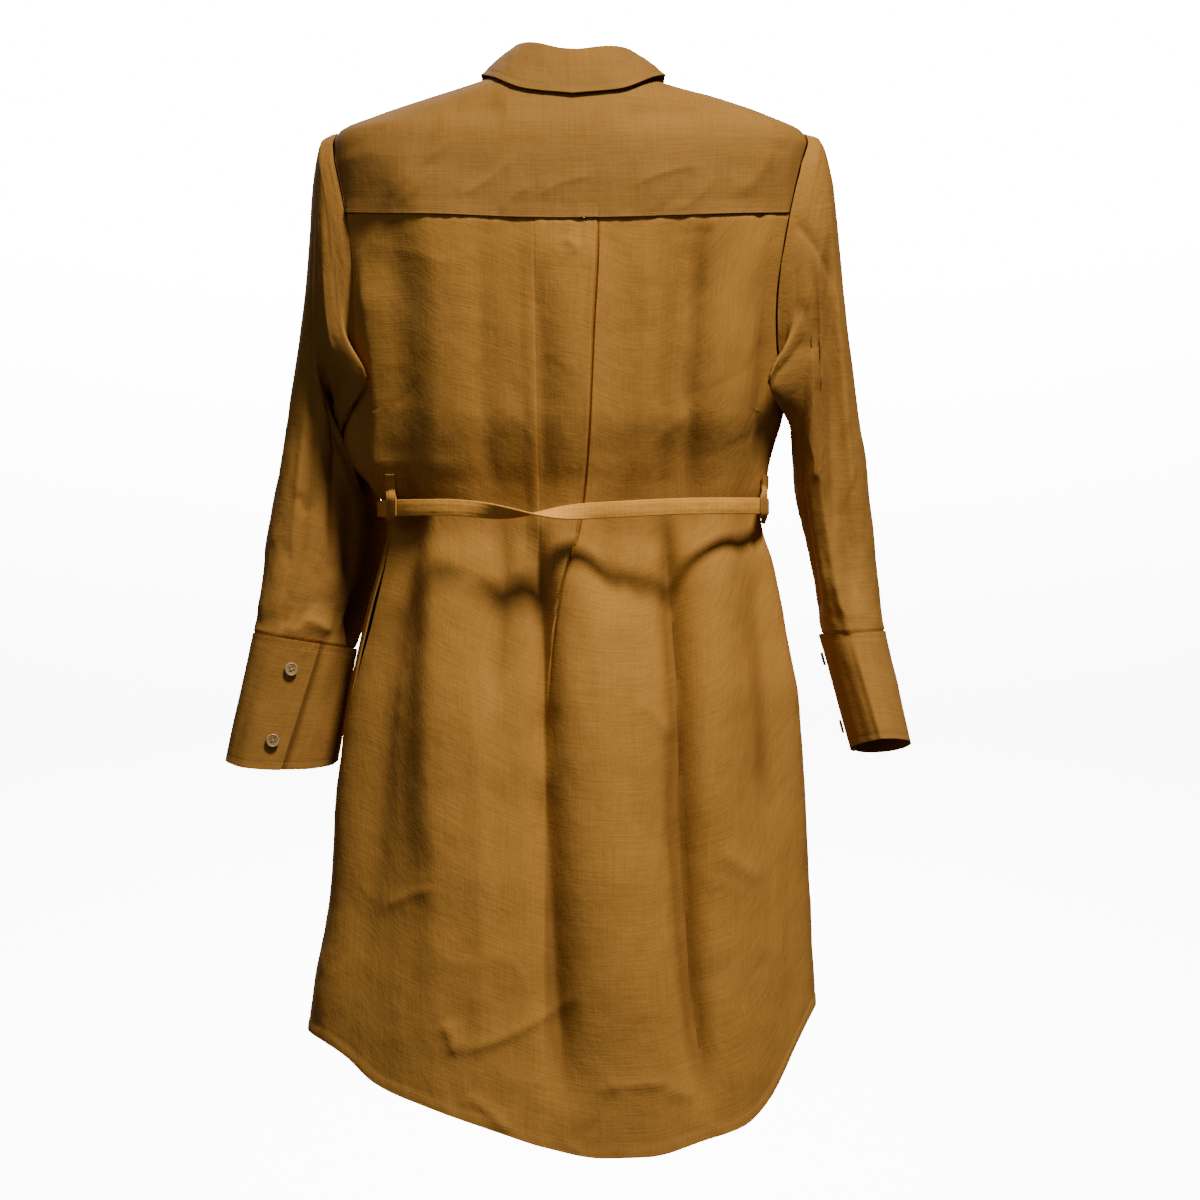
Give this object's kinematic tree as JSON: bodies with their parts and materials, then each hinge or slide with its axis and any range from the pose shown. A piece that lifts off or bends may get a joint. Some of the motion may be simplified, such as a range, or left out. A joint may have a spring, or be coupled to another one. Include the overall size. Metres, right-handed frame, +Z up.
{
  "type": "shirt dress",
  "caption": "Long-sleeved linen shirt dress with box-pleated back yoke, tie belt, deep buttoned cuffs and curved hem, worn form, hollow.",
  "frame": {"origin": "where the wearer's shoulders carry the dress: between the two neck points, level with the top of the shoulder seams", "axes": "+Z up, -Y towards the back of the dress, +Y towards the buttoned front, +X towards the wearer's right side"},
  "size_m": [0.6157, 0.2968, 0.9866],
  "materials": {
    "linen": "plain-woven linen in camel, softly creased, matte with a slight sheen",
    "belt_linen": "the same linen, pressed flat and edge-stitched",
    "button": "pale horn look, satin"
  },
  "bodies": {
    "root": {"back_panel": "linen", "back_yoke": "linen", "front_left": "linen", "front_right": "linen", "front_placket": "linen", "collar_stand": "linen", "collar": "linen", "sleeve_left": "linen", "sleeve_right": "linen", "cuff_left": "linen", "cuff_right": "linen", "pocket_left": "linen", "pocket_right": "linen", "belt": "belt_linen", "belt_knot": "belt_linen", "belt_end_left": "belt_linen", "belt_end_right": "belt_linen", "belt_loop_left": "belt_linen", "belt_loop_right": "belt_linen", "front_button_1": "button", "front_button_2": "button", "front_button_3": "button", "front_button_4": "button", "front_button_5": "button", "front_button_6": "button", "front_button_7": "button", "front_button_8": "button", "stand_button": "button", "cuff_button_left_1": "button", "cuff_button_left_2": "button", "cuff_button_right_1": "button", "cuff_button_right_2": "button"}
  },
  "joints": []
}
